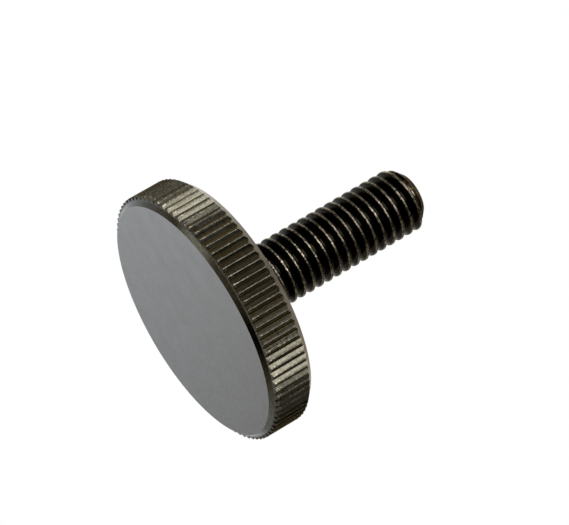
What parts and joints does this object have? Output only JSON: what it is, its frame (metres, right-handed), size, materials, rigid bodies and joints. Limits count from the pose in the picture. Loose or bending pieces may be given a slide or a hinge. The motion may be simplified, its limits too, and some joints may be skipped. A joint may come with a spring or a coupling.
{
  "type": "thumb screw",
  "caption": "Flat thumb screw: a thin round head with a straight-knurled rim on a fully threaded metric shank with a chamfered tip.",
  "frame": {"origin": "middle of the flat outer face of the head, which the screw stands on", "axes": "+Z along the screw's axis, from the outer face of the head to the tip of the shank; X and Y lie in the outer face, and turning about Z changes nothing but where the knurl and the thread start"},
  "size_m": [0.0194, 0.0194, 0.0194],
  "materials": {
    "blackened_steel": "satin, blackened and oiled; the flat outer face is fine-turned and paler than the knurl and the thread"
  },
  "bodies": {
    "root": {"thumb_screw": "blackened_steel"}
  },
  "joints": []
}
